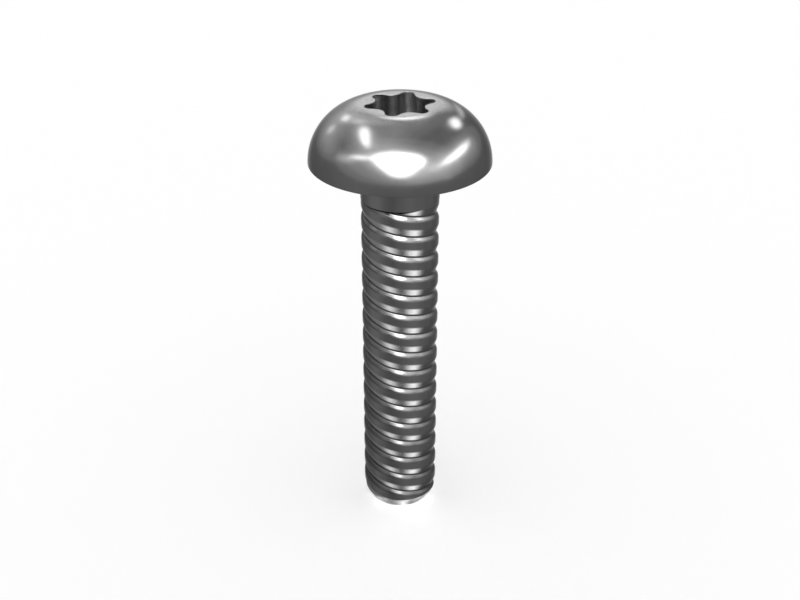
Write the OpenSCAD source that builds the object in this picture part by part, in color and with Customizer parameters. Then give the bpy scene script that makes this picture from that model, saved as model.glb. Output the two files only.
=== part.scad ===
// Truss head screw with a six-lobe drive recess, standing on its flat tip.
// The origin is the centre of the tip's end face, with +Z along the axis to the head.
// The side that shows best faces -Y.

/* [Head] */
// Diameter of the head at its rim
head_d = 11.45; // [9:0.05:16]
// Height of the head above its flat underside, and radius of its quarter-round side
head_h = 3.7; // [3.3:0.05:4.3]

/* [Drive recess] */
// Six-lobe recess, across two opposite lobes
drive_across_lobes = 4.45; // [4.2:0.05:4.7]
// Six-lobe recess, across two opposite valleys
drive_across_valleys = 3.16; // [3:0.02:3.3]
// Radius of each lobe's rounded end
drive_lobe_r = 0.45; // [0.35:0.01:0.5]
// Depth of the recess's straight walls below the top of the head
drive_depth = 2.4; // [1.2:0.1:2.5]
// Full angle of the cone that the punch leaves under the walls
drive_floor_angle = 140; // [130:1:170]
// Width of the flat ring between the walls' valleys and that cone
drive_floor_land = 0.15; // [0.1:0.05:0.5]
// Turn of the recess about the axis, from a lobe that points along +X
drive_turn = 15; // [0:1:60]

/* [Shank] */
// Length from the underside of the head to the tip
shank_len = 25; // [12:1:60]
// Diameter of the plain neck under the head
shank_d = 5; // [4.6:0.1:6]
// Length of the plain neck
neck_len = 2.4; // [1:0.1:5]
// Radius of the fillet between the neck and the head
neck_fillet_r = 0.2; // [0.1:0.05:0.4]
// Diameter of the flat end face
tip_d = 4.1; // [3.4:0.05:4.3]
// Height of the bevel round the tip
tip_h = 0.75; // [0.4:0.05:1.2]

/* [Thread] */
// Distance from one crest to the next
thread_pitch = 1.39; // [1.2:0.01:1.8]
// Number of grooves that run side by side
thread_starts = 2; // [1, 2]
// Way the thread winds
thread_hand = "left"; // [left, right]
// Depth of the groove
thread_depth = 0.16; // [0.12:0.01:0.4]
// Width of the groove's mouth
groove_w = 0.84; // [0.6:0.01:0.9]
// Width of the flat at the bottom of the groove
root_w = 0.1; // [0.05:0.01:0.2]
// How far the groove's bottom lies below the middle of its mouth
groove_lean = 0.1; // [0:0.01:0.15]
// How far the crests stay inside the neck's surface
crest_relief = 0.02; // [0.01:0.01:0.1]
// Height of a groove's bottom on the front side, below the underside of the head
groove_drop = 2.67; // [2.3:0.01:4]

/* [Hidden] */
$fn = 96;
lobes = 6;
half_lobe_angle = 180 / lobes;
// Straight steps round one turn of the thread
turn_steps = 48;
// How far joined solids run into each other, and cuts run past a face
lap = 0.3;
// Slight overlap at a point where two rounds only touch
touch = 0.0005;

head_r = head_d / 2;
flat_r = head_r - head_h;
shank_r = shank_d / 2;
tip_r = tip_d / 2;
neck_z = shank_len - neck_len;

lobe_centre = drive_across_lobes / 2 - drive_lobe_r;
valley_edge = drive_across_valleys / 2;
// A valley's round touches its two neighbouring lobes, which sets its radius
valley_r = (pow(lobe_centre, 2) - 2 * lobe_centre * valley_edge * cos(half_lobe_angle)
            + pow(valley_edge, 2) - pow(drive_lobe_r, 2))
           / (2 * (drive_lobe_r + lobe_centre * cos(half_lobe_angle) - valley_edge));
valley_centre = valley_edge + valley_r;
floor_cone_r = valley_edge - drive_floor_land;
floor_cone_h = floor_cone_r / tan(drive_floor_angle / 2);

crest_r = shank_r - crest_relief;
root_r = crest_r - thread_depth;
crest_w = thread_pitch - groove_w;
lower_flank_w = (groove_w - root_w) / 2 - groove_lean;
lead = thread_pitch * thread_starts;
// One crest and one groove, read upwards: height above the crest's lower edge, and radius
thread_profile = [
    [0, crest_r],
    [crest_w, crest_r],
    [crest_w + lower_flank_w, root_r],
    [crest_w + lower_flank_w + root_w, root_r]
];
rows_per_pitch = len(thread_profile);
// Height of a groove's bottom on the front side, brought to just above the tip
groove_z = shank_len - groove_drop;
groove_phase = groove_z - thread_pitch * floor(groove_z / thread_pitch);
// The lowest row starts below the tip all the way round
thread_base = groove_phase - crest_w - lower_flank_w - root_w / 2 - 2 * thread_pitch;
pitches = ceil((neck_z + lap + lead - thread_base) / thread_pitch) + 1;
top_row = pitches * rows_per_pitch;
rows_per_lead = rows_per_pitch * thread_starts;
// Angle of the front side, which faces -Y
front_angle = 270;

// Height of a row of the thread above the seam's lowest row
function row_z(row) =
    floor(row / rows_per_pitch) * thread_pitch + thread_profile[row % rows_per_pitch][0];

// Point of a row after a number of steps round the axis, going down as it turns
function thread_point(step, row) =
    let (turn = 360 * step / turn_steps, r = thread_profile[row % rows_per_pitch][1])
    [r * cos(turn), r * sin(turn), thread_base + row_z(row) - lead * turn / 360];

// Number of that point in the list: past a full turn it is a point of a lower row
function point_index(step, row) =
    step < turn_steps ? step * (top_row + 1) + row
    : row >= rows_per_lead ? row - rows_per_lead
    : turn_steps * (top_row + 1) + row;

module rounded_head() {
    color("dimgray")
    translate([0, 0, shank_len])
    difference() {
        rotate_extrude() {
            square([flat_r, head_h]);
            translate([flat_r, 0])
            intersection() {
                circle(r = head_h);
                square(head_h);
            }
        }
        drive_recess();
    }
}

module lobe_outline() {
    difference() {
        polygon([for (i = [0 : lobes - 1], side = [0, 1])
            let (r = side == 0 ? lobe_centre : valley_centre,
                 turn = (2 * i + side) * half_lobe_angle)
            [r * cos(turn), r * sin(turn)]]);
        for (i = [0 : lobes - 1])
            rotate((2 * i + 1) * half_lobe_angle)
            translate([valley_centre, 0])
            circle(r = valley_r);
    }
    for (i = [0 : lobes - 1])
        rotate(2 * i * half_lobe_angle)
        translate([lobe_centre, 0])
        circle(r = drive_lobe_r + touch);
}

module drive_recess() {
    rotate(drive_turn)
    translate([0, 0, head_h - drive_depth]) {
        linear_extrude(drive_depth + lap)
        lobe_outline();
        rotate_extrude()
        polygon([[0, -floor_cone_h], [floor_cone_r, 0], [floor_cone_r, lap], [0, lap]]);
    }
}

module plain_neck() {
    color("dimgray") {
        translate([0, 0, neck_z])
        cylinder(r = shank_r, h = neck_len + lap);
        neck_fillet();
        run_out();
    }
}

module neck_fillet() {
    translate([0, 0, shank_len])
    rotate_extrude()
    translate([shank_r, 0])
    difference() {
        translate([-lap, -neck_fillet_r])
        square([neck_fillet_r + lap, neck_fillet_r + lap]);
        translate([neck_fillet_r, -neck_fillet_r])
        circle(r = neck_fillet_r);
    }
}

// Cone on which the grooves run out below the neck
module run_out() {
    run = shank_r - root_r + lap;
    translate([0, 0, neck_z - run])
    cylinder(r1 = shank_r - run, r2 = shank_r, h = run);
}

module threaded_shank() {
    color("gray")
    intersection() {
        if (thread_hand == "left") thread_coil();
        else mirror([1, 0, 0]) thread_coil();
        shank_blank();
    }
}

// The blank's bevelled end and its two end planes, wider than the crests
module shank_blank() {
    bevel = (shank_r - tip_r) / tip_h;
    rotate_extrude()
    polygon([
        [0, 0],
        [tip_r, 0],
        [shank_r + lap, tip_h + lap / bevel],
        [shank_r + lap, neck_z + lap],
        [0, neck_z + lap]
    ]);
}

// The helical surface in one skin, from below the tip to inside the neck, closed to the axis
module thread_coil() {
    rings = [for (step = [0 : turn_steps - 1], row = [0 : top_row]) thread_point(step, row)];
    seam = [for (row = [0 : rows_per_lead - 1]) thread_point(turn_steps, row)];
    bottom = len(rings) + len(seam);
    top = bottom + 1;
    ends = [[0, 0, thread_base - lead], [0, 0, thread_base + row_z(top_row)]];
    skin = [for (step = [0 : turn_steps - 1], row = [0 : top_row - 1], half = [0, 1])
        half == 0
        ? [point_index(step, row), point_index(step, row + 1), point_index(step + 1, row)]
        : [point_index(step, row + 1), point_index(step + 1, row + 1), point_index(step + 1, row)]];
    caps = [for (step = [0 : turn_steps - 1], end = [0, 1])
        end == 0
        ? [bottom, point_index(step, 0), point_index(step + 1, 0)]
        : [top, point_index(step + 1, top_row), point_index(step, top_row)]];
    steps = [for (row = [0 : rows_per_lead - 1], end = [0, 1])
        end == 0
        ? [bottom, point_index(turn_steps, row), point_index(turn_steps, row + 1)]
        : [top, point_index(0, top_row - row), point_index(0, top_row - row - 1)]];
    rotate(front_angle)
    polyhedron(concat(rings, seam, ends), concat(skin, caps, steps));
}

module truss_head_screw() {
    rounded_head();
    plain_neck();
    threaded_shank();
}

truss_head_screw();
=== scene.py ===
from math import cos, pi, radians, sin, tan

import bmesh
import bpy
import numpy as np
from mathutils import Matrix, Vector


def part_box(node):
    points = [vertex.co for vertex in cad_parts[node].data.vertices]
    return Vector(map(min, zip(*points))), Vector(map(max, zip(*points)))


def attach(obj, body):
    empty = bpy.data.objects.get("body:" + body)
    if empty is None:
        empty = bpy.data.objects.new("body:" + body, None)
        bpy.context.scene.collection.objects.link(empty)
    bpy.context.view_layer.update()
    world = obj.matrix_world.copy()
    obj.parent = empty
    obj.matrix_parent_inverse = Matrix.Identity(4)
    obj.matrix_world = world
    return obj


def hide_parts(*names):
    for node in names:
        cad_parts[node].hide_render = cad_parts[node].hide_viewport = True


bl_info = {
    "name": "Truss head screw",
    "version": (1, 0, 0),
    "blender": (4, 5, 0),
    "location": "View3D > Sidebar > Screw",
    "description": "A domed screw with a six-lobe recess and a coarse left-hand thread, with its studio",
    "category": "Add Mesh",
}

NODE = "truss_head_screw"
MM = 0.001
WHITE = (1, 1, 1, 1)
LOBES = 6

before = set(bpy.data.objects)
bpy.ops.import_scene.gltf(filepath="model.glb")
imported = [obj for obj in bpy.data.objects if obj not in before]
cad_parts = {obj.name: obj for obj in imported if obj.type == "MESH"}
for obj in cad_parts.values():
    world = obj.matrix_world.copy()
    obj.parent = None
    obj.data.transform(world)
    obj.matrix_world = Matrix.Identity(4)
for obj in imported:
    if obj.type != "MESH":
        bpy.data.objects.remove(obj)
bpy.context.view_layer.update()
LOW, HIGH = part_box(NODE)
TOP = HIGH.z
HEAD_R = (HIGH.x - LOW.x) / 2

# Waves of painted light round the axis, a sheen and highlights: how many there are in a turn, and
# the angle at which one of them peaks, from the front to the right
NECK_SHEEN = (6, radians(22))
LIT_SPREAD = (3, radians(4))
BRIGHT_SIDES = (2, radians(50))
UPPER_GLINTS = (9, radians(22))
LOWER_GLINTS = (9, radians(6))

# Least and most of its colour's strength that each surface reflects
PLAIN_RANGE = (0.7, 1.2)
RUBBED_SHEEN_RANGE = (0.6, 1.75)
RECESS_WALL_RANGE = (0.6, 3.9)
UPPER_FLANK_RANGE = (0.18, 2.3)
LOWER_FLANK_RANGE = (0.2, 1.4)
BEVEL_RANGE = (0.8, 2.2)

# Softboxes round the screw: name, azimuth from the camera's side to the right, elevation, width,
# height and roll, all in degrees, radiance, and how far the edge is blurred as a share of the size
SOFTBOXES = [
    ("front_upper", -3, 49, 61, 27, -3, 13.0, 0.0),
    ("front_middle", 0, 41, 54, 30, 0, 13.0, 0.0),
    ("front_lower", 0, 36, 40, 43, 0, 13.0, 0.0),
    ("front_halo", 0, 40, 125, 75, -10, 2.0, 0.3),
    ("front_tail", -60, 38, 24, 6, 28, 14.0, 0.3),
    ("tail_end", -77, 26, 22, 11, 28, 3.5, 0.4),
    ("right_strip", 86, 28, 50, 9, -2, 17.0, 0.25),
    ("right_inner", 48, 25, 20, 10, 8, 3.0, 0.4),
    ("right_low", 60, 0, 10, 14, 0, 1.2, 0.3),
    ("right_glow", 75, 25, 100, 35, 0, 2.2, 0.35),
    ("right_back", 143, 35, 18, 10, -28, 17.0, 0.25),
    ("right_back_streak", 159, 15, 22, 5, -48, 5.0, 0.3),
    ("left_back_high", -107, 61, 41, 9, 3, 15.0, 0.2),
    ("left_back_arm", -152, 44, 9, 8, 0, 4.0, 0.3),
    ("left_back_low", -152, 31, 9, 6, 20, 13.0, 0.25),
    ("left_back_halo", -157, 36, 20, 34, 13, 2.0, 0.35),
    ("left_back_faint", -136, 22, 10, 9, -20, 5.5, 0.3),
    ("left_glow", -140, 20, 75, 30, 5, 2.0, 0.35),
    ("overhead", -125, 70, 100, 50, 20, 1.6, 0.35),
    ("behind_high", 178, 36, 10, 9, 0, 13.0, 0.3),
    ("behind_low", 179, 20, 28, 20, 0, 4.0, 0.25),
]


class ScrewSizes(bpy.types.PropertyGroup):
    """Sizes of the screw's surface, the same as those of its solid, and its rounded edges."""

    head_h: bpy.props.FloatProperty(
        name="Head height", description="Height of the head and radius of its round side",
        default=3.7 * MM, unit="LENGTH")
    across_lobes: bpy.props.FloatProperty(
        name="Across lobes", description="Recess, across two opposite lobes",
        default=4.45 * MM, unit="LENGTH")
    across_valleys: bpy.props.FloatProperty(
        name="Across valleys", description="Recess, across two opposite valleys",
        default=3.16 * MM, unit="LENGTH")
    lobe_r: bpy.props.FloatProperty(
        name="Lobe radius", description="Radius of each lobe's rounded end",
        default=0.45 * MM, unit="LENGTH")
    recess_depth: bpy.props.FloatProperty(
        name="Recess depth", description="Depth of the recess's straight walls",
        default=2.4 * MM, unit="LENGTH")
    floor_land: bpy.props.FloatProperty(
        name="Floor land", description="Flat ring between the walls' valleys and the floor's cone",
        default=0.15 * MM, unit="LENGTH")
    floor_angle: bpy.props.FloatProperty(
        name="Floor angle", description="Full angle of the cone at the bottom of the recess",
        default=radians(140), subtype="ANGLE")
    recess_turn: bpy.props.FloatProperty(
        name="Recess turn", description="Turn of the recess from a lobe that points along +X",
        default=radians(15), subtype="ANGLE")
    shank_r: bpy.props.FloatProperty(
        name="Shank radius", description="Radius of the plain neck",
        default=2.5 * MM, unit="LENGTH")
    neck_len: bpy.props.FloatProperty(
        name="Neck length", description="Length of the plain neck",
        default=2.4 * MM, unit="LENGTH")
    fillet_r: bpy.props.FloatProperty(
        name="Neck fillet", description="Radius of the fillet between the neck and the head",
        default=0.2 * MM, unit="LENGTH")
    tip_r: bpy.props.FloatProperty(
        name="Tip radius", description="Radius of the flat end face",
        default=2.05 * MM, unit="LENGTH")
    tip_h: bpy.props.FloatProperty(
        name="Bevel height", description="Height of the bevel round the tip",
        default=0.75 * MM, unit="LENGTH")
    pitch: bpy.props.FloatProperty(
        name="Pitch", description="Distance from one crest to the next",
        default=1.39 * MM, unit="LENGTH")
    starts: bpy.props.IntProperty(
        name="Starts", description="Number of grooves side by side",
        default=2, min=1, max=4)
    groove_depth: bpy.props.FloatProperty(
        name="Groove depth", description="Depth of the groove",
        default=0.16 * MM, unit="LENGTH")
    groove_w: bpy.props.FloatProperty(
        name="Groove width", description="Width of the groove's mouth",
        default=0.84 * MM, unit="LENGTH")
    groove_lean: bpy.props.FloatProperty(
        name="Groove lean", description="How far the groove's bottom lies below the middle of its mouth",
        default=0.1 * MM, unit="LENGTH")
    root_w: bpy.props.FloatProperty(
        name="Root width", description="Width of the flat at the bottom of the groove",
        default=0.1 * MM, unit="LENGTH")
    crest_relief: bpy.props.FloatProperty(
        name="Crest relief", description="How far the crests stay inside the neck's surface",
        default=0.02 * MM, unit="LENGTH")
    groove_drop: bpy.props.FloatProperty(
        name="Groove drop", description="A groove's bottom on the front side, below the head's underside",
        default=2.67 * MM, unit="LENGTH")
    edge_r: bpy.props.FloatProperty(
        name="Rim rounding", description="Radius of the head's rim",
        default=0.05 * MM, unit="LENGTH")
    mouth_r: bpy.props.FloatProperty(
        name="Recess rounding", description="Radius of the edges at the recess's mouth and floor",
        default=0.02 * MM, unit="LENGTH")
    shoulder_r: bpy.props.FloatProperty(
        name="Crest rounding", description="Radius between a crest and its flanks",
        default=0.55 * MM, unit="LENGTH")
    root_r: bpy.props.FloatProperty(
        name="Root rounding", description="Radius between the flanks and the groove's bottom",
        default=0.05 * MM, unit="LENGTH")
    blend: bpy.props.FloatProperty(
        name="Blend", description="Width of the rounds where the grooves meet the run-out and the bevel",
        default=0.03 * MM, unit="LENGTH")
    columns: bpy.props.IntProperty(
        name="Columns", description="Columns of the surface round the axis",
        default=216, min=48, max=480)


class ScrewFinish(bpy.types.PropertyGroup):
    """Colours and finish of the dark polished steel, and of the light and shade painted on it."""

    steel: bpy.props.FloatVectorProperty(
        name="Steel", description="Colour that the plain steel and the lower flanks reflect",
        default=(0.085, 0.085, 0.085), size=3, subtype="COLOR")
    # Lighter than the steel: the recess's floor, which the walls reflect, and the base of the painted
    # reflection stripes on the walls
    recess_steel: bpy.props.FloatVectorProperty(
        name="Recess steel", description="Colour that the recess reflects, on its walls in light stripes",
        default=(0.18, 0.18, 0.18), size=3, subtype="COLOR")
    # Lighter than the steel: the painted reflections on the upper flanks and the bevel
    reflection_steel: bpy.props.FloatVectorProperty(
        name="Reflection steel", description="Colour that the upper flanks and the bevel reflect",
        default=(0.38, 0.38, 0.38), size=3, subtype="COLOR")
    # Darker than the steel: the painted shade at the bottom of each groove
    groove_shade: bpy.props.FloatVectorProperty(
        name="Groove shade", description="Colour that the bottom of each groove reflects",
        default=(0.05, 0.05, 0.05), size=3, subtype="COLOR")
    # The head's top inside this radius is rubbed lighter, partly wear and partly a painted sheen
    rubbed_sheen_r: bpy.props.FloatProperty(
        name="Rubbed sheen radius", description="Radius inside which the head's top is rubbed lighter",
        default=2.6 * MM, unit="LENGTH")
    roughness: bpy.props.FloatProperty(
        name="Roughness", description="Mean roughness of the polish",
        default=0.19, subtype="FACTOR")
    relief: bpy.props.FloatProperty(
        name="Relief", description="Depth of the turning rings and the grain",
        default=0.01 * MM, unit="LENGTH")
    edge_tint: bpy.props.FloatProperty(
        name="Edge tint", description="How much the steel reflects at a grazing angle",
        default=0.5, subtype="FACTOR")


class ScrewStudio(bpy.types.PropertyGroup):
    """Camera, floor and light."""

    floor: bpy.props.FloatVectorProperty(
        name="Floor", description="Colour of the floor",
        default=(0.8, 0.8, 0.8), size=3, subtype="COLOR")
    floor_lift: bpy.props.FloatProperty(
        name="Floor lift", description="Light that the floor adds where the camera or a reflection sees it",
        default=0.2)
    floor_size: bpy.props.FloatProperty(
        name="Floor size", description="Length of the floor's sides",
        default=6.0, unit="LENGTH")
    room: bpy.props.FloatProperty(
        name="Room light", description="Even light from the pale room on everything that is not glossy",
        default=1.0)
    lamp_distance: bpy.props.FloatProperty(
        name="Lamp distance", description="Distance of the lamps from the screw",
        default=1.0, unit="LENGTH")
    camera_back: bpy.props.FloatProperty(
        name="Camera distance", description="Level distance from the axis to the camera",
        default=73.83 * MM, unit="LENGTH")
    camera_up: bpy.props.FloatProperty(
        name="Camera height", description="Height of the camera above the floor",
        default=55.10 * MM, unit="LENGTH")
    camera_down: bpy.props.FloatProperty(
        name="Camera slope", description="How far the camera looks down",
        default=radians(28.402), subtype="ANGLE")
    lens: bpy.props.FloatProperty(
        name="Lens", description="Focal length in millimetres, for a sensor 36 mm wide",
        default=57.58)


class Wire:
    """A shader socket that takes part in arithmetic: each operator adds one Math node."""

    def __init__(self, tree, socket=None):
        self.tree = tree
        self.socket = socket

    def node(self, kind, settings=None, inputs=None, output=0):
        """Adds a node, makes its settings first and then sets or links its sockets."""
        made = self.tree.nodes.new("ShaderNode" + kind)
        for name, value in (settings or {}).items():
            setattr(made, name, value)
        for name, value in (inputs or {}).items():
            if isinstance(value, Wire):
                self.tree.links.new(value.socket, made.inputs[name])
            else:
                made.inputs[name].default_value = value
        return Wire(self.tree, made.outputs[output] if made.outputs else None)

    def math(self, operation, *values, clamp=False):
        """One Math node on this socket and more values."""
        settings = {"operation": operation, "use_clamp": clamp}
        return self.node("Math", settings, dict(enumerate((self, *values))))

    def stretch(self, scale):
        """This vector with each of its axes multiplied."""
        return self.node("VectorMath", {"operation": "MULTIPLY"}, {0: self, 1: scale})

    def noise(self, scale, detail):
        """Noise at this place, about 0.5 in the mean, with its scale in cells for each metre."""
        inputs = {"Vector": self, "Scale": scale, "Detail": detail}
        return self.node("TexNoise", inputs=inputs, output="Fac")

    def mix(self, share, first, second):
        """A colour between two others."""
        return self.node("Mix", {"data_type": "RGBA"}, {"Factor": share, 6: first, 7: second}, 2)

    def shade(self, share, colour, least, most):
        """A colour that a share takes from the least to the most of its strength."""
        return self.mix(share, (*(c * least for c in colour), 1), (*(c * most for c in colour), 1))

    def __add__(self, other):
        return self.math("ADD", other)

    __radd__ = __add__

    def __mul__(self, other):
        return self.math("MULTIPLY", other)

    __rmul__ = __mul__

    def __sub__(self, other):
        return self.math("SUBTRACT", other)

    def __rsub__(self, other):
        return self * -1 + other

    def __truediv__(self, other):
        return self.math("DIVIDE", other)


def new_material(name):
    """An empty node material, and a wire to build on in it."""
    material = bpy.data.materials.new(name)
    material.use_nodes = True
    material.node_tree.nodes.clear()
    return material, Wire(material.node_tree)


def ramp(value, start, end):
    """Zero where a wire is at the start, one where it is at the end, and even between them."""
    return ((value - start) / (end - start)).math("ADD", 0, clamp=True)


def waves(turn, count, peak):
    """A wave that repeats a number of times round the axis and peaks at an angle, from -1 to 1."""
    return ((turn - peak) * count).math("COSINE")


def screw_place(wire):
    """A point's place, its radius, its turn round the axis from the front to the right, its height."""
    place = wire.node("TexCoord", output="Object")
    level = place.stretch((1, 1, 0))
    radius = level.node("VectorMath", {"operation": "LENGTH"}, {0: level}, "Value")
    right = place.node("SeparateXYZ", inputs={0: place}, output="X")
    back = place.node("SeparateXYZ", inputs={0: place}, output="Y")
    height = place.node("SeparateXYZ", inputs={0: place}, output="Z")
    return place, radius, right.math("ARCTAN2", back * -1), height


def steel_zones(radius, height, turn, sizes):
    """How much of each point is recess, its wall, upper flank, lower flank, bevel and groove bottom.

    The groove's phase is the height plus the lead times the turn round the axis, in pitches, less
    the nearest whole number: it is zero at a groove's bottom and rises towards the crest above it.
    The upper flanks lie above the grooves' bottoms and face down, the lower ones face up.
    """
    under = TOP - sizes.head_h
    neck_end = under - sizes.neck_len
    soft = 0.03 * MM
    recess_r = sizes.across_lobes / 2 + 2 * soft
    recess = ramp(height, TOP - soft, TOP - 2 * soft) * ramp(radius, recess_r, recess_r - soft)
    recess = recess * ramp(height, under, under + soft)
    floor = TOP - sizes.recess_depth
    wall = ramp(height, floor + soft / 3, floor + soft)
    lead = sizes.pitch * sizes.starts
    phase = (height + turn * (lead / (2 * pi)) - (under - sizes.groove_drop)) / sizes.pitch
    rise = (phase - phase.math("ROUND")) * sizes.pitch
    bevel_slope = (sizes.shank_r - sizes.tip_r) / sizes.tip_h
    over_cone = radius - height * bevel_slope - sizes.tip_r
    bevel = ramp(over_cone, -2 * soft, -soft) * ramp(height, sizes.tip_h, sizes.tip_h - soft)
    threaded = ramp(height, neck_end, neck_end - soft)
    flanks = []
    for away, reach in ((rise, sizes.groove_w / 2 + sizes.groove_lean),
                        (rise * -1, sizes.groove_w / 2 - sizes.groove_lean)):
        flank = ramp(away, sizes.root_w / 2, sizes.root_w)
        flank = flank * ramp(away, reach + 2 * soft, reach - 2 * soft)
        flanks.append(flank * threaded)
    # The grooves' bottoms, where shade is painted
    bottom = ramp(rise.math("ABSOLUTE"), sizes.root_w / 2 + soft, sizes.root_w / 2) * threaded
    return recess, wall, *flanks, bevel, bottom * (1 - bevel)


def plain_tone(height, turn, smears, streaks, sizes):
    """Share of the plain steel's brightness: smears on the head, and below it drawn streaks, a painted
    sheen as a wave round the axis, and an even part."""
    under = TOP - sizes.head_h
    head = ramp(height, under - sizes.fillet_r, under)
    streak_part, wave_part, even_part = 0.5, 0.3, 0.25
    drawn = streaks * streak_part + waves(turn, *NECK_SHEEN) * wave_part + even_part
    return smears * head + drawn * (1 - head)


def rubbed_sheen_ring(radius, height, finish):
    """How much of a point lies on the head's top that is rubbed lighter, with a painted sheen."""
    fade, low, high = 0.9 * MM, TOP - 0.8 * MM, TOP - 0.4 * MM
    return ramp(radius, finish.rubbed_sheen_r + fade, finish.rubbed_sheen_r) * ramp(height, low, high)


def recess_wall_tone(turn, streaks, sizes):
    """Share of the recess walls' brightness, painted reflection stripes: a wave with two peaks for
    each lobe, a weaker one that peaks in each lobe's middle, streaks and an even part."""
    lobe_at = sizes.recess_turn + pi / 2
    wave_part, lobe_part, streak_part, even_part = 0.3, 0.12, 0.2, 0.4
    tone = waves(turn, 2 * LOBES, lobe_at) * wave_part + waves(turn, LOBES, lobe_at) * lobe_part
    return tone + streaks * streak_part + even_part


def upper_flank_tone(lit_share, side, turn, grain):
    """Share of the upper flanks' painted reflections: highlights at set angles broken up by grain
    where painted light falls, more on the bright sides, and a little painted light between them."""
    wave_part, grain_part = 0.5, 0.5
    glints = waves(turn, *UPPER_GLINTS) * wave_part + 0.5 + (grain - 0.5) * grain_part
    side_part, even_part, between_sides = 0.3, 0.82, 0.06
    tone = lit_share * glints * (side * side_part + even_part) + (1 - side) * between_sides
    return tone.math("ADD", 0, clamp=True)


def lower_flank_tone(lit_share, side, turn, height):
    """Share of the lower flanks' painted highlight: spots at set angles where painted light falls,
    the bright sides and an even part, all of it painted darker towards the tip."""
    roll_part, side_part, even_part = 0.33, 0.3, 0.5
    tone = lit_share * waves(turn, *LOWER_GLINTS) * roll_part + side * side_part + even_part
    # The painted highlight fades towards the tip
    none_at, full_from = -15 * MM, 14 * MM
    return tone * ramp(height, none_at, full_from)


def polished_steel(finish, sizes):
    """Dark steel with a soft polish, fine turning rings and drawn streaks along the axis.

    The top round the recess is rubbed lighter, with a painted sheen, and the neck has a painted
    sheen. The walls of the recess have painted reflections, stripes lightest in the middle of each
    lobe. The upper flanks and the bevel are lighter with painted reflections, and the flanks have
    painted highlights at the same angles on every turn. The bottoms of the grooves are darker with
    painted shade.
    """
    material, wire = new_material("polished_steel")
    place, radius, turn, height = screw_place(wire)
    marks = wire.node("CombineXYZ", inputs={"X": radius, "Z": height}).noise(14000, 2)
    grain = place.noise(9000, 3)
    smears = place.noise(420, 4)
    drawn = place.stretch((1, 1, 0.06))
    streaks = ramp(drawn.noise(900, 3), 0.36, 0.64)
    smear_swing, grain_swing = 0.08, 0.04
    roughness = finish.roughness + (smears - 0.5) * smear_swing + (grain - 0.5) * grain_swing

    recess, wall, upper, lower, bevel, bottom = steel_zones(radius, height, turn, sizes)
    # Where the flanks' painted highlights fall, and the sides on which they are brighter
    lit_share = ramp(waves(turn, *LIT_SPREAD), -0.5, 0.5)
    side = waves(turn, *BRIGHT_SIDES)
    upper_tone = upper_flank_tone(lit_share, side, turn, grain)
    lower_tone = lower_flank_tone(lit_share, side, turn, height)
    # Painted reflection stripes on the recess's walls
    wall_reflections = wire.shade(recess_wall_tone(turn, streaks, sizes), finish.recess_steel, *RECESS_WALL_RANGE)
    colour = wire.shade(plain_tone(height, turn, smears, streaks, sizes), finish.steel, *PLAIN_RANGE)
    # Over the plain steel: a rubbed top with a painted sheen, painted reflections in the recess, on the
    # upper flanks and the bevel, a painted highlight on the lower flanks, and painted shade at the grooves'
    # bottoms
    for share, zone_colour in (
            (rubbed_sheen_ring(radius, height, finish), wire.shade(grain, finish.steel, *RUBBED_SHEEN_RANGE)),
            (recess, wire.mix(wall, (*finish.recess_steel, 1), wall_reflections)),
            (upper, wire.shade(upper_tone, finish.reflection_steel, *UPPER_FLANK_RANGE)),
            (lower, wire.shade(lower_tone, finish.steel, *LOWER_FLANK_RANGE)),
            (bevel, wire.shade(streaks, finish.reflection_steel, *BEVEL_RANGE)),
            (bottom, (*finish.groove_shade, 1))):
        colour = wire.mix(share, colour, zone_colour)

    ring_height, polish = 0.6, 0.05
    relief = wire.node("Bump", inputs={
        "Strength": polish,
        "Distance": finish.relief,
        "Height": marks * ring_height + grain,
    })
    surface = wire.node("BsdfPrincipled", inputs={
        "Base Color": colour,
        "Metallic": 1.0,
        "Roughness": roughness,
        "Specular Tint": (finish.edge_tint, finish.edge_tint, finish.edge_tint, 1),
        "Normal": relief,
    })
    wire.node("OutputMaterial", inputs={"Surface": surface})
    return material


def seen_by_eye_or_gloss(wire):
    """One for rays from the camera, from a reflection or through glass, and zero for the rest."""
    camera = wire.node("LightPath", output="Is Camera Ray")
    gloss = wire.node("LightPath", output="Is Glossy Ray")
    clear = wire.node("LightPath", output="Is Transmission Ray")
    return (camera + gloss).math("ADD", clear, clamp=True)


def pale_floor(studio):
    """Matt pale floor that keeps shadows, lifted to white where it is seen."""
    material, wire = new_material("pale_floor")
    matt = wire.node("BsdfDiffuse", inputs={"Color": (*studio.floor, 1)})
    lift = wire.node("Emission", inputs={
        "Color": WHITE,
        "Strength": seen_by_eye_or_gloss(wire) * studio.floor_lift,
    })
    both = wire.node("AddShader", inputs={0: matt, 1: lift})
    wire.node("OutputMaterial", inputs={"Surface": both})
    return material


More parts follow.
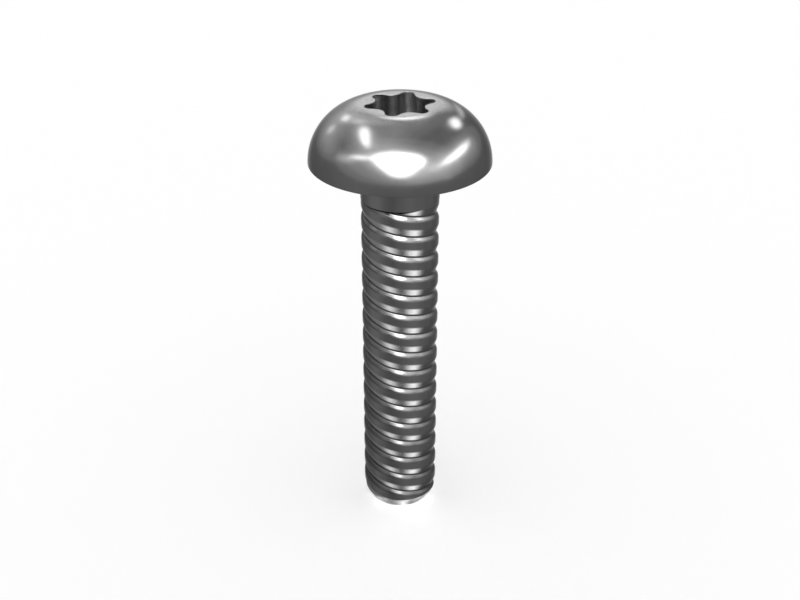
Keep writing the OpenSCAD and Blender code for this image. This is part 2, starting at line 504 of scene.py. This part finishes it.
def lobe_radius(angle, sizes):
    """Distance of the six-lobe outline from the axis at an angle.

    Near a lobe's middle it is the far root of a circle of the lobe's radius, centred on the lobe's
    line. Near a valley it is the near root of the valley's circle, which touches both lobes.
    """
    half = pi / LOBES
    turn = np.mod(angle - sizes.recess_turn + half, 2 * half) - half
    lobe = sizes.across_lobes / 2 - sizes.lobe_r
    edge = sizes.across_valleys / 2
    valley_r = (lobe**2 - 2 * lobe * edge * cos(half) + edge**2 - sizes.lobe_r**2) / (
        2 * (sizes.lobe_r + lobe * cos(half) - edge))
    valley = edge + valley_r
    share = sizes.lobe_r / (sizes.lobe_r + valley_r)
    touch_x = lobe + (valley * cos(half) - lobe) * share
    touch_y = valley * sin(half) * share
    limit = np.arctan2(touch_y, touch_x)
    near = np.abs(turn)
    away = half - near
    outer = lobe * np.cos(near) + np.sqrt(np.maximum(sizes.lobe_r**2 - (lobe * np.sin(near)) ** 2, 0))
    inner = valley * np.cos(away) - np.sqrt(np.maximum(valley_r**2 - (valley * np.sin(away)) ** 2, 0))
    return np.where(near <= limit, outer, inner)


def column_angles(sizes):
    """Turns of the columns from the front side round to it again.

    They are spaced by a measure that is half the angle and half the length of the recess's
    outline, so that its steep stretches get more columns.
    """
    fine_steps = 7200
    fine = np.linspace(0, 2 * pi, fine_steps + 1)
    radius = lobe_radius(fine - pi / 2, sizes)
    length = np.hypot(np.diff(radius), radius[1:] * np.diff(fine))
    measure = np.concatenate([[0], np.cumsum(length / length.sum() + np.diff(fine) / (2 * pi))])
    steps = np.linspace(0, measure[-1], sizes.columns + 1)
    return np.interp(steps, measure, fine)


def flank_rounds(flank, sizes):
    """Slope of a flank of a given width, and where its rounds start and end: the hollow one at the
    groove's bottom, then the one at the crest. All are distances from the bottom's middle."""
    slope = np.arctan(sizes.groove_depth / flank)
    hollow = sizes.root_w / 2 - sizes.root_r * np.tan(slope / 2)
    shoulder = sizes.root_w / 2 + flank + sizes.shoulder_r * np.tan(slope / 2)
    hollow_out = hollow + sizes.root_r * np.sin(slope)
    shoulder_in = shoulder - sizes.shoulder_r * np.sin(slope)
    return slope, hollow, hollow_out, shoulder_in, shoulder


def groove_reach(turn, height, sizes):
    """Radius of the threaded shank at a turn from the front and a height.

    The distance from the nearest groove's bottom, measured along the axis, runs through the
    profile: a flat bottom, a round, a straight flank, a round and the flat crest. The flank above
    the bottom is wider than the one below it. A groove sinks by its lead in one turn.
    """
    lead = sizes.pitch * sizes.starts
    bottom = TOP - sizes.head_h - sizes.groove_drop
    phase = (height - bottom + lead * turn / (2 * pi)) / sizes.pitch
    rise = (phase - np.round(phase)) * sizes.pitch
    away = np.abs(rise)
    half = (sizes.groove_w - sizes.root_w) / 2
    flank = np.where(rise > 0, half + sizes.groove_lean, half - sizes.groove_lean)
    slope, hollow, hollow_out, shoulder_in, shoulder = flank_rounds(flank, sizes)
    crest = sizes.shank_r - sizes.crest_relief
    root = crest - sizes.groove_depth
    reach = np.clip(root + (away - sizes.root_w / 2) * np.tan(slope), root, crest)
    drop = sizes.shoulder_r**2 - (shoulder - away) ** 2
    reach = np.where((away > shoulder_in) & (away < shoulder),
                     crest - sizes.shoulder_r + np.sqrt(np.maximum(drop, 0)), reach)
    lift = sizes.root_r**2 - (away - hollow) ** 2
    return np.where((away > hollow) & (away < hollow_out),
                    root + sizes.root_r - np.sqrt(np.maximum(lift, 0)), reach)


def side_reach(turn, height, sizes):
    """Radius of the shank below the neck: the thread's, raised to the run-out's cone at the top,
    which is as steep as it is wide, and cut to the bevel's cone at the tip.

    Where two of them cross, half the root of the square of their difference and of a small blend,
    added to or taken from their mean, rounds the edge.
    """
    neck_end = TOP - sizes.head_h - sizes.neck_len
    bevel_slope = (sizes.shank_r - sizes.tip_r) / sizes.tip_h
    groove = groove_reach(turn, height, sizes)
    cone = sizes.shank_r - (neck_end - height)
    reach = (groove + cone + np.hypot(groove - cone, sizes.blend)) / 2
    reach = np.minimum(reach, sizes.shank_r)
    bevel = sizes.tip_r + height * bevel_slope
    return (reach + bevel - np.hypot(reach - bevel, sizes.blend)) / 2


def side_normals(point, sizes):
    """Directions in which the shank's side faces below the neck, as rows of three.

    The side is where the radius equals the reach, so it faces outwards, less the reach's slope
    round the axis and its slope along it.
    """
    step = 0.003 * MM
    neck_end = TOP - sizes.head_h - sizes.neck_len
    angle = np.arctan2(point[:, 1], point[:, 0])
    turn = np.mod(angle + pi / 2, 2 * pi)
    height = np.clip(point[:, 2], step, neck_end - step)
    radius = side_reach(turn, height, sizes)
    swing = step / sizes.shank_r
    along = (side_reach(turn, height + step, sizes) - side_reach(turn, height - step, sizes)) / (2 * step)
    across = side_reach(turn + swing, height, sizes) - side_reach(turn - swing, height, sizes)
    across /= 2 * swing * radius
    facing = np.stack([
        np.cos(angle) + across * np.sin(angle),
        np.sin(angle) - across * np.cos(angle),
        -along], axis=-1)
    return facing / np.linalg.norm(facing, axis=-1, keepdims=True)


def profile_rows(sizes):
    """Distances from a groove's bottom, over one pitch, at which the thread gets a row.

    They lie at the ends of the rounds and at even steps between them, on both flanks.
    """
    half = (sizes.groove_w - sizes.root_w) / 2
    crest_support = 0.02 * MM
    hollow_rows, shoulder_rows = 3, 5
    sides = []
    for flank in (half - sizes.groove_lean, half + sizes.groove_lean):
        hollow, hollow_out, shoulder_in, shoulder = flank_rounds(flank, sizes)[1:]
        sides.append(np.concatenate([
            np.linspace(hollow, hollow_out, hollow_rows),
            np.linspace(shoulder_in, shoulder, shoulder_rows),
            [shoulder + crest_support],
        ]))
    return np.concatenate([-sides[0][::-1], sides[1]])


def dome_height(radius, sizes):
    """Height of the head's top at a radius: flat in the middle, then a quarter round."""
    flat = HEAD_R - sizes.head_h
    out = np.clip(radius - flat, 0, sizes.head_h)
    return TOP - sizes.head_h + np.sqrt(sizes.head_h**2 - out**2)


def rings(radius, height, angle):
    """Rows of points on circles round the axis, from one radius and one height for each row."""
    radius = np.broadcast_to(np.asarray(radius, float)[:, None], (len(radius), len(angle)))
    height = np.broadcast_to(np.asarray(height, float)[:, None], radius.shape)
    return np.stack([radius * np.cos(angle), radius * np.sin(angle), height], axis=-1)


def recess_rows(angle, sizes):
    """The recess from the floor's middle up to its mouth, and how the mouth's edge lies.

    The floor's cone is circles, from its point to its edge. Each row above it is the outline moved
    along its own normal: a flat ring, a hollow round, a straight wall and a round over its top.
    """
    wall = lobe_radius(angle, sizes)
    step = 1e-4
    slope = (lobe_radius(angle + step, sizes) - lobe_radius(angle - step, sizes)) / (2 * step)
    outline = np.stack([wall * np.cos(angle), wall * np.sin(angle)], axis=-1)
    along = np.stack([
        slope * np.cos(angle) - wall * np.sin(angle),
        slope * np.sin(angle) + wall * np.cos(angle)], axis=-1)
    along /= np.linalg.norm(along, axis=-1, keepdims=True)
    normal = np.stack([along[:, 1], -along[:, 0]], axis=-1)

    bottom = TOP - sizes.recess_depth
    cone_r = sizes.across_valleys / 2 - sizes.floor_land
    cone_h = cone_r / tan(sizes.floor_angle / 2)
    share = np.array([0, 0.5, 0.97, 1])
    cone = rings(cone_r * share, bottom - cone_h * (1 - share), angle)

    round_r = sizes.mouth_r
    support = 0.02 * MM
    hollow_rows, mouth_rows = 4, 6
    low = np.linspace(0, pi / 2, hollow_rows)
    up = np.linspace(0, pi / 2, mouth_rows)
    shift = np.concatenate([-round_r * (1 - np.sin(low)), [0, 0, 0], round_r * (1 - np.cos(up))])
    mouth = outline[None] + shift[-1] * normal[None]
    mouth_z = dome_height(np.linalg.norm(mouth, axis=-1), sizes)[0]
    rise = round_r * (1 - np.cos(low))
    wall_top = mouth_z - round_r
    height = np.concatenate([
        bottom + np.broadcast_to(rise[:, None], (hollow_rows, len(angle))),
        [np.full_like(wall, bottom + round_r + support)],
        [(bottom + wall_top) / 2],
        [wall_top - support],
        wall_top[None] + round_r * np.sin(up)[:, None]])
    flat = outline[None] + shift[:, None, None] * normal[None]
    walls = np.concatenate([flat, height[..., None]], axis=-1)
    return np.concatenate([cone, walls]), mouth[0]


def top_rows(angle, mouth, sizes):
    """The head's top from the recess's mouth to a full circle on the dome, blended in a straight line."""
    circle_r = 2.75 * MM
    edge_support, first_share, rows = 0.02, 0.1, 11
    circle = np.stack([circle_r * np.cos(angle), circle_r * np.sin(angle)], axis=-1)
    share = np.concatenate([[edge_support], np.linspace(first_share, 1, rows)])[:, None, None]
    flat = mouth[None] * (1 - share) + circle[None] * share
    height = dome_height(np.linalg.norm(flat, axis=-1), sizes)
    return np.concatenate([flat, height[..., None]], axis=-1), circle_r


def head_rows(angle, circle_r, sizes):
    """Dome, rim, underside, fillet and neck: circles along the outline, with arcs at the rounds."""
    flat = HEAD_R - sizes.head_h
    under = TOP - sizes.head_h
    start = np.arcsin((circle_r - flat) / sizes.head_h)
    end = np.arccos(sizes.edge_r / sizes.head_h)
    dome_steps, rim_steps, fillet_steps = 37, 5, 6
    dome = np.linspace(start, end, dome_steps + 1)[1:]
    rim = np.linspace(0, pi / 2, rim_steps + 1)[1:]
    hollow = np.linspace(0, pi / 2, fillet_steps + 1)
    support = 0.03 * MM
    fillet_out = sizes.shank_r + sizes.fillet_r
    neck_end = under - sizes.neck_len
    neck = [under - sizes.fillet_r - support, (under + neck_end) / 2, neck_end + support, neck_end]
    radius = np.concatenate([
        flat + sizes.head_h * np.sin(dome),
        HEAD_R - sizes.edge_r * (1 - np.cos(rim)),
        [HEAD_R - sizes.edge_r - support, fillet_out + support],
        fillet_out - sizes.fillet_r * np.sin(hollow),
        np.full(len(neck), sizes.shank_r)])
    height = np.concatenate([
        under + sizes.head_h * np.cos(dome),
        under + sizes.edge_r * (1 - np.sin(rim)),
        [under, under],
        under - sizes.fillet_r * (1 - np.cos(hollow)),
        neck])
    return rings(radius, height, angle)


def thread_rows(angle, turn, sizes):
    """Run-out, thread and bevelled tip.

    Above and below the thread the rows are level. Between them each row sinks with the groove and
    stops at the level rows, where its spare points fall together. The radius is the groove's,
    raised to the run-out's cone at the top and cut to the bevel's cone at the tip.
    """
    lead = sizes.pitch * sizes.starts
    neck_end = TOP - sizes.head_h - sizes.neck_len
    run_out = sizes.crest_relief + sizes.groove_depth
    upper_end = neck_end - run_out
    bottom = TOP - sizes.head_h - sizes.groove_drop
    profile = profile_rows(sizes)
    last = int(np.ceil((upper_end + lead - bottom) / sizes.pitch)) + 1
    first = int(np.floor((sizes.tip_h - bottom) / sizes.pitch)) - 1
    rows = (bottom + sizes.pitch * np.arange(last, first, -1)[:, None] + profile[::-1][None]).ravel()
    rows = rows[(rows < upper_end + lead) & (rows > sizes.tip_h)]
    sinking = np.clip(rows[:, None] - lead * turn[None] / (2 * pi), sizes.tip_h, upper_end)
    level_step = 0.018 * MM
    top_steps = int(np.ceil(run_out / level_step))
    tip_steps = int(np.ceil(sizes.tip_h / level_step))
    upper = np.linspace(neck_end, upper_end, top_steps + 1)[1:, None] + 0 * turn[None]
    lower = np.linspace(sizes.tip_h, 0, tip_steps + 1)[:, None] + 0 * turn[None]
    height = np.concatenate([upper, sinking, lower])
    reach = side_reach(turn[None], height, sizes)
    side = np.stack([reach * np.cos(angle), reach * np.sin(angle), height], axis=-1)
    edge_support = 0.985
    face = rings(sizes.tip_r * np.array([edge_support, 0.5, 0]), [0, 0, 0], angle)
    return np.concatenate([side, face])


def face_side(mesh, sizes):
    """Gives the shank's side below the neck its exact directions, and leaves the rest as it is."""
    corners = len(mesh.loops)
    facing = np.empty(corners * 3, np.float32)
    mesh.corner_normals.foreach_get("vector", facing)
    facing = facing.reshape(-1, 3)
    owner = np.empty(corners, np.int32)
    mesh.loops.foreach_get("vertex_index", owner)
    point = np.empty(len(mesh.vertices) * 3, np.float32)
    mesh.vertices.foreach_get("co", point)
    point = point.reshape(-1, 3).astype(float)
    total = np.empty(len(mesh.polygons), np.int32)
    mesh.polygons.foreach_get("loop_total", total)
    middle = np.empty(len(mesh.polygons) * 3, np.float32)
    mesh.polygons.foreach_get("center", middle)
    height = middle.reshape(-1, 3)[:, 2]
    above_face = 0.001 * MM
    neck_end = TOP - sizes.head_h - sizes.neck_len
    on_side = np.repeat((height > above_face) & (height < neck_end), total)
    facing[on_side] = side_normals(point, sizes)[owner[on_side]]
    mesh.normals_split_custom_set(facing.tolist())


def sew(name, grid):
    """A closed mesh from a grid of points: four-sided faces between neighbours, points that fall
    together made one, and faces that close up on themselves left out."""
    rows, columns = grid.shape[:2]
    corner = np.arange(rows * columns).reshape(rows, columns)
    faces = np.stack([corner[:-1, :-1], corner[:-1, 1:], corner[1:, 1:], corner[1:, :-1]], axis=-1)
    mesh = bpy.data.meshes.new(name)
    mesh.from_pydata(grid.reshape(-1, 3).tolist(), [], faces.reshape(-1, 4).tolist())
    work = bmesh.new()
    work.from_mesh(mesh)
    same_point = 2e-8
    bmesh.ops.remove_doubles(work, verts=work.verts, dist=same_point)
    bmesh.ops.dissolve_degenerate(work, edges=work.edges, dist=same_point)
    bmesh.ops.recalc_face_normals(work, faces=work.faces)
    work.to_mesh(mesh)
    work.free()
    mesh.shade_smooth()
    sharp_from = radians(32)
    mesh.set_sharp_from_angle(angle=sharp_from)
    return mesh


def screw_mesh(sizes):
    """The whole skin as one grid, from the recess's floor over the head and down to the tip's face."""
    turn = column_angles(sizes)
    angle = turn - pi / 2
    recess, mouth = recess_rows(angle, sizes)
    top, circle_r = top_rows(angle, mouth, sizes)
    head = head_rows(angle, circle_r, sizes)
    thread = thread_rows(angle, turn, sizes)
    mesh = sew("screw", np.concatenate([recess, top, head, thread]))
    face_side(mesh, sizes)
    return mesh


class OBJECT_OT_screw_body(bpy.types.Operator):
    """Build the screw's surface with its finish, in place of the plain solid"""

    bl_idname = "object.screw_body"
    bl_label = "Screw"

    def execute(self, context):
        sizes = context.scene.screw_sizes
        screw = bpy.data.objects.new("screw", screw_mesh(sizes))
        context.scene.collection.objects.link(screw)
        screw.data.materials.append(polished_steel(context.scene.screw_finish, sizes))
        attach(screw, "root")
        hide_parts(NODE)
        return {"FINISHED"}


def lamp(name, far, azimuth, elevation, width, height, roll, radiance):
    """A lamp that fills the given angles, seen from the screw. Its power is its radiance times its
    area and pi. Only reflections see it."""
    side, up = radians(azimuth), radians(elevation)
    out = Vector((sin(side) * cos(up), -cos(side) * cos(up), sin(up)))
    light = bpy.data.lights.new(name, "AREA")
    light.shape = "ELLIPSE"
    light.size = 2 * far * tan(radians(width) / 2)
    light.size_y = 2 * far * tan(radians(height) / 2)
    area = pi / 4 * light.size * light.size_y
    light.energy = pi * area * radiance
    holder = bpy.data.objects.new(name, light)
    bpy.context.scene.collection.objects.link(holder)
    holder.location = Vector((0, 0, TOP / 2)) + out * far
    holder.rotation_euler = out.to_track_quat("Z", "Y").to_euler()
    holder.rotation_euler.rotate_axis("Z", radians(roll))
    holder.visible_camera = False
    holder.visible_diffuse = False


def softbox(studio, name, azimuth, elevation, width, height, roll, radiance, blur):
    """A softbox: one lamp, or three behind one another where its light falls off at its edge.

    Each of the three has a third of the radiance, and they are a smaller, a middle and a larger
    one.
    """
    layer_gap = 0.03
    sizes = (1 - blur, 1, 1 + blur) if blur else (1,)
    for layer, size in enumerate(sizes):
        far = studio.lamp_distance * (1 + layer * layer_gap)
        lamp(f"{name}_{layer}", far, azimuth, elevation, width * size, height * size, roll,
             radiance / len(sizes))


def pale_room(studio):
    """World: white where the camera or a reflection sees it, and an even light on the rest."""
    world = bpy.data.worlds.new("pale_room")
    world.use_nodes = True
    world.node_tree.nodes.clear()
    wire = Wire(world.node_tree)
    strength = seen_by_eye_or_gloss(wire) * (1 - studio.room) + studio.room
    room = wire.node("Background", inputs={"Color": WHITE, "Strength": strength})
    wire.node("OutputWorld", inputs={"Surface": room})
    return world


class OBJECT_OT_screw_stage(bpy.types.Operator):
    """Set up the floor, the pale room, the softboxes and the camera"""

    bl_idname = "object.screw_stage"
    bl_label = "Stage"

    def execute(self, context):
        scene = context.scene
        studio = scene.screw_studio
        scene.world = pale_room(studio)
        scene.view_settings.view_transform = "Standard"
        half = studio.floor_size / 2
        corners = [(-half, -half, 0), (half, -half, 0), (half, half, 0), (-half, half, 0)]
        mesh = bpy.data.meshes.new("floor")
        mesh.from_pydata(corners, [], [(0, 1, 2, 3)])
        mesh.materials.append(pale_floor(studio))
        floor = bpy.data.objects.new("floor", mesh)
        scene.collection.objects.link(floor)
        for box in SOFTBOXES:
            softbox(studio, *box)
        camera = bpy.data.cameras.new("camera")
        camera.lens = studio.lens
        camera.clip_start = 1 * MM
        holder = bpy.data.objects.new("camera", camera)
        scene.collection.objects.link(holder)
        holder.location = (0, -studio.camera_back, studio.camera_up)
        holder.rotation_euler = (pi / 2 - studio.camera_down, 0, 0)
        scene.camera = holder
        return {"FINISHED"}


class VIEW3D_PT_screw(bpy.types.Panel):
    """Sizes, finish and studio of the screw, and the steps that build it"""

    bl_label = "Truss head screw"
    bl_space_type = "VIEW_3D"
    bl_region_type = "UI"
    bl_category = "Screw"

    def draw(self, context):
        for group in ("screw_sizes", "screw_finish", "screw_studio"):
            settings = getattr(context.scene, group)
            box = self.layout.box()
            for name in settings.__annotations__:
                box.prop(settings, name)
        for step in STEPS:
            self.layout.operator(step)


STEPS = ("object.screw_stage", "object.screw_body")
CLASSES = (
    ScrewSizes,
    ScrewFinish,
    ScrewStudio,
    OBJECT_OT_screw_body,
    OBJECT_OT_screw_stage,
    VIEW3D_PT_screw,
)


def register():
    """Makes the classes known and hangs the settings on the scene."""
    for item in CLASSES:
        bpy.utils.register_class(item)
    bpy.types.Scene.screw_sizes = bpy.props.PointerProperty(type=ScrewSizes)
    bpy.types.Scene.screw_finish = bpy.props.PointerProperty(type=ScrewFinish)
    bpy.types.Scene.screw_studio = bpy.props.PointerProperty(type=ScrewStudio)


def unregister():
    """Takes the settings and classes away again."""
    del bpy.types.Scene.screw_studio
    del bpy.types.Scene.screw_finish
    del bpy.types.Scene.screw_sizes
    for item in reversed(CLASSES):
        bpy.utils.unregister_class(item)


def main():
    """Builds the stage and the screw."""
    register()
    bpy.ops.object.screw_stage()
    bpy.ops.object.screw_body()


if __name__ == "__main__":
    main()
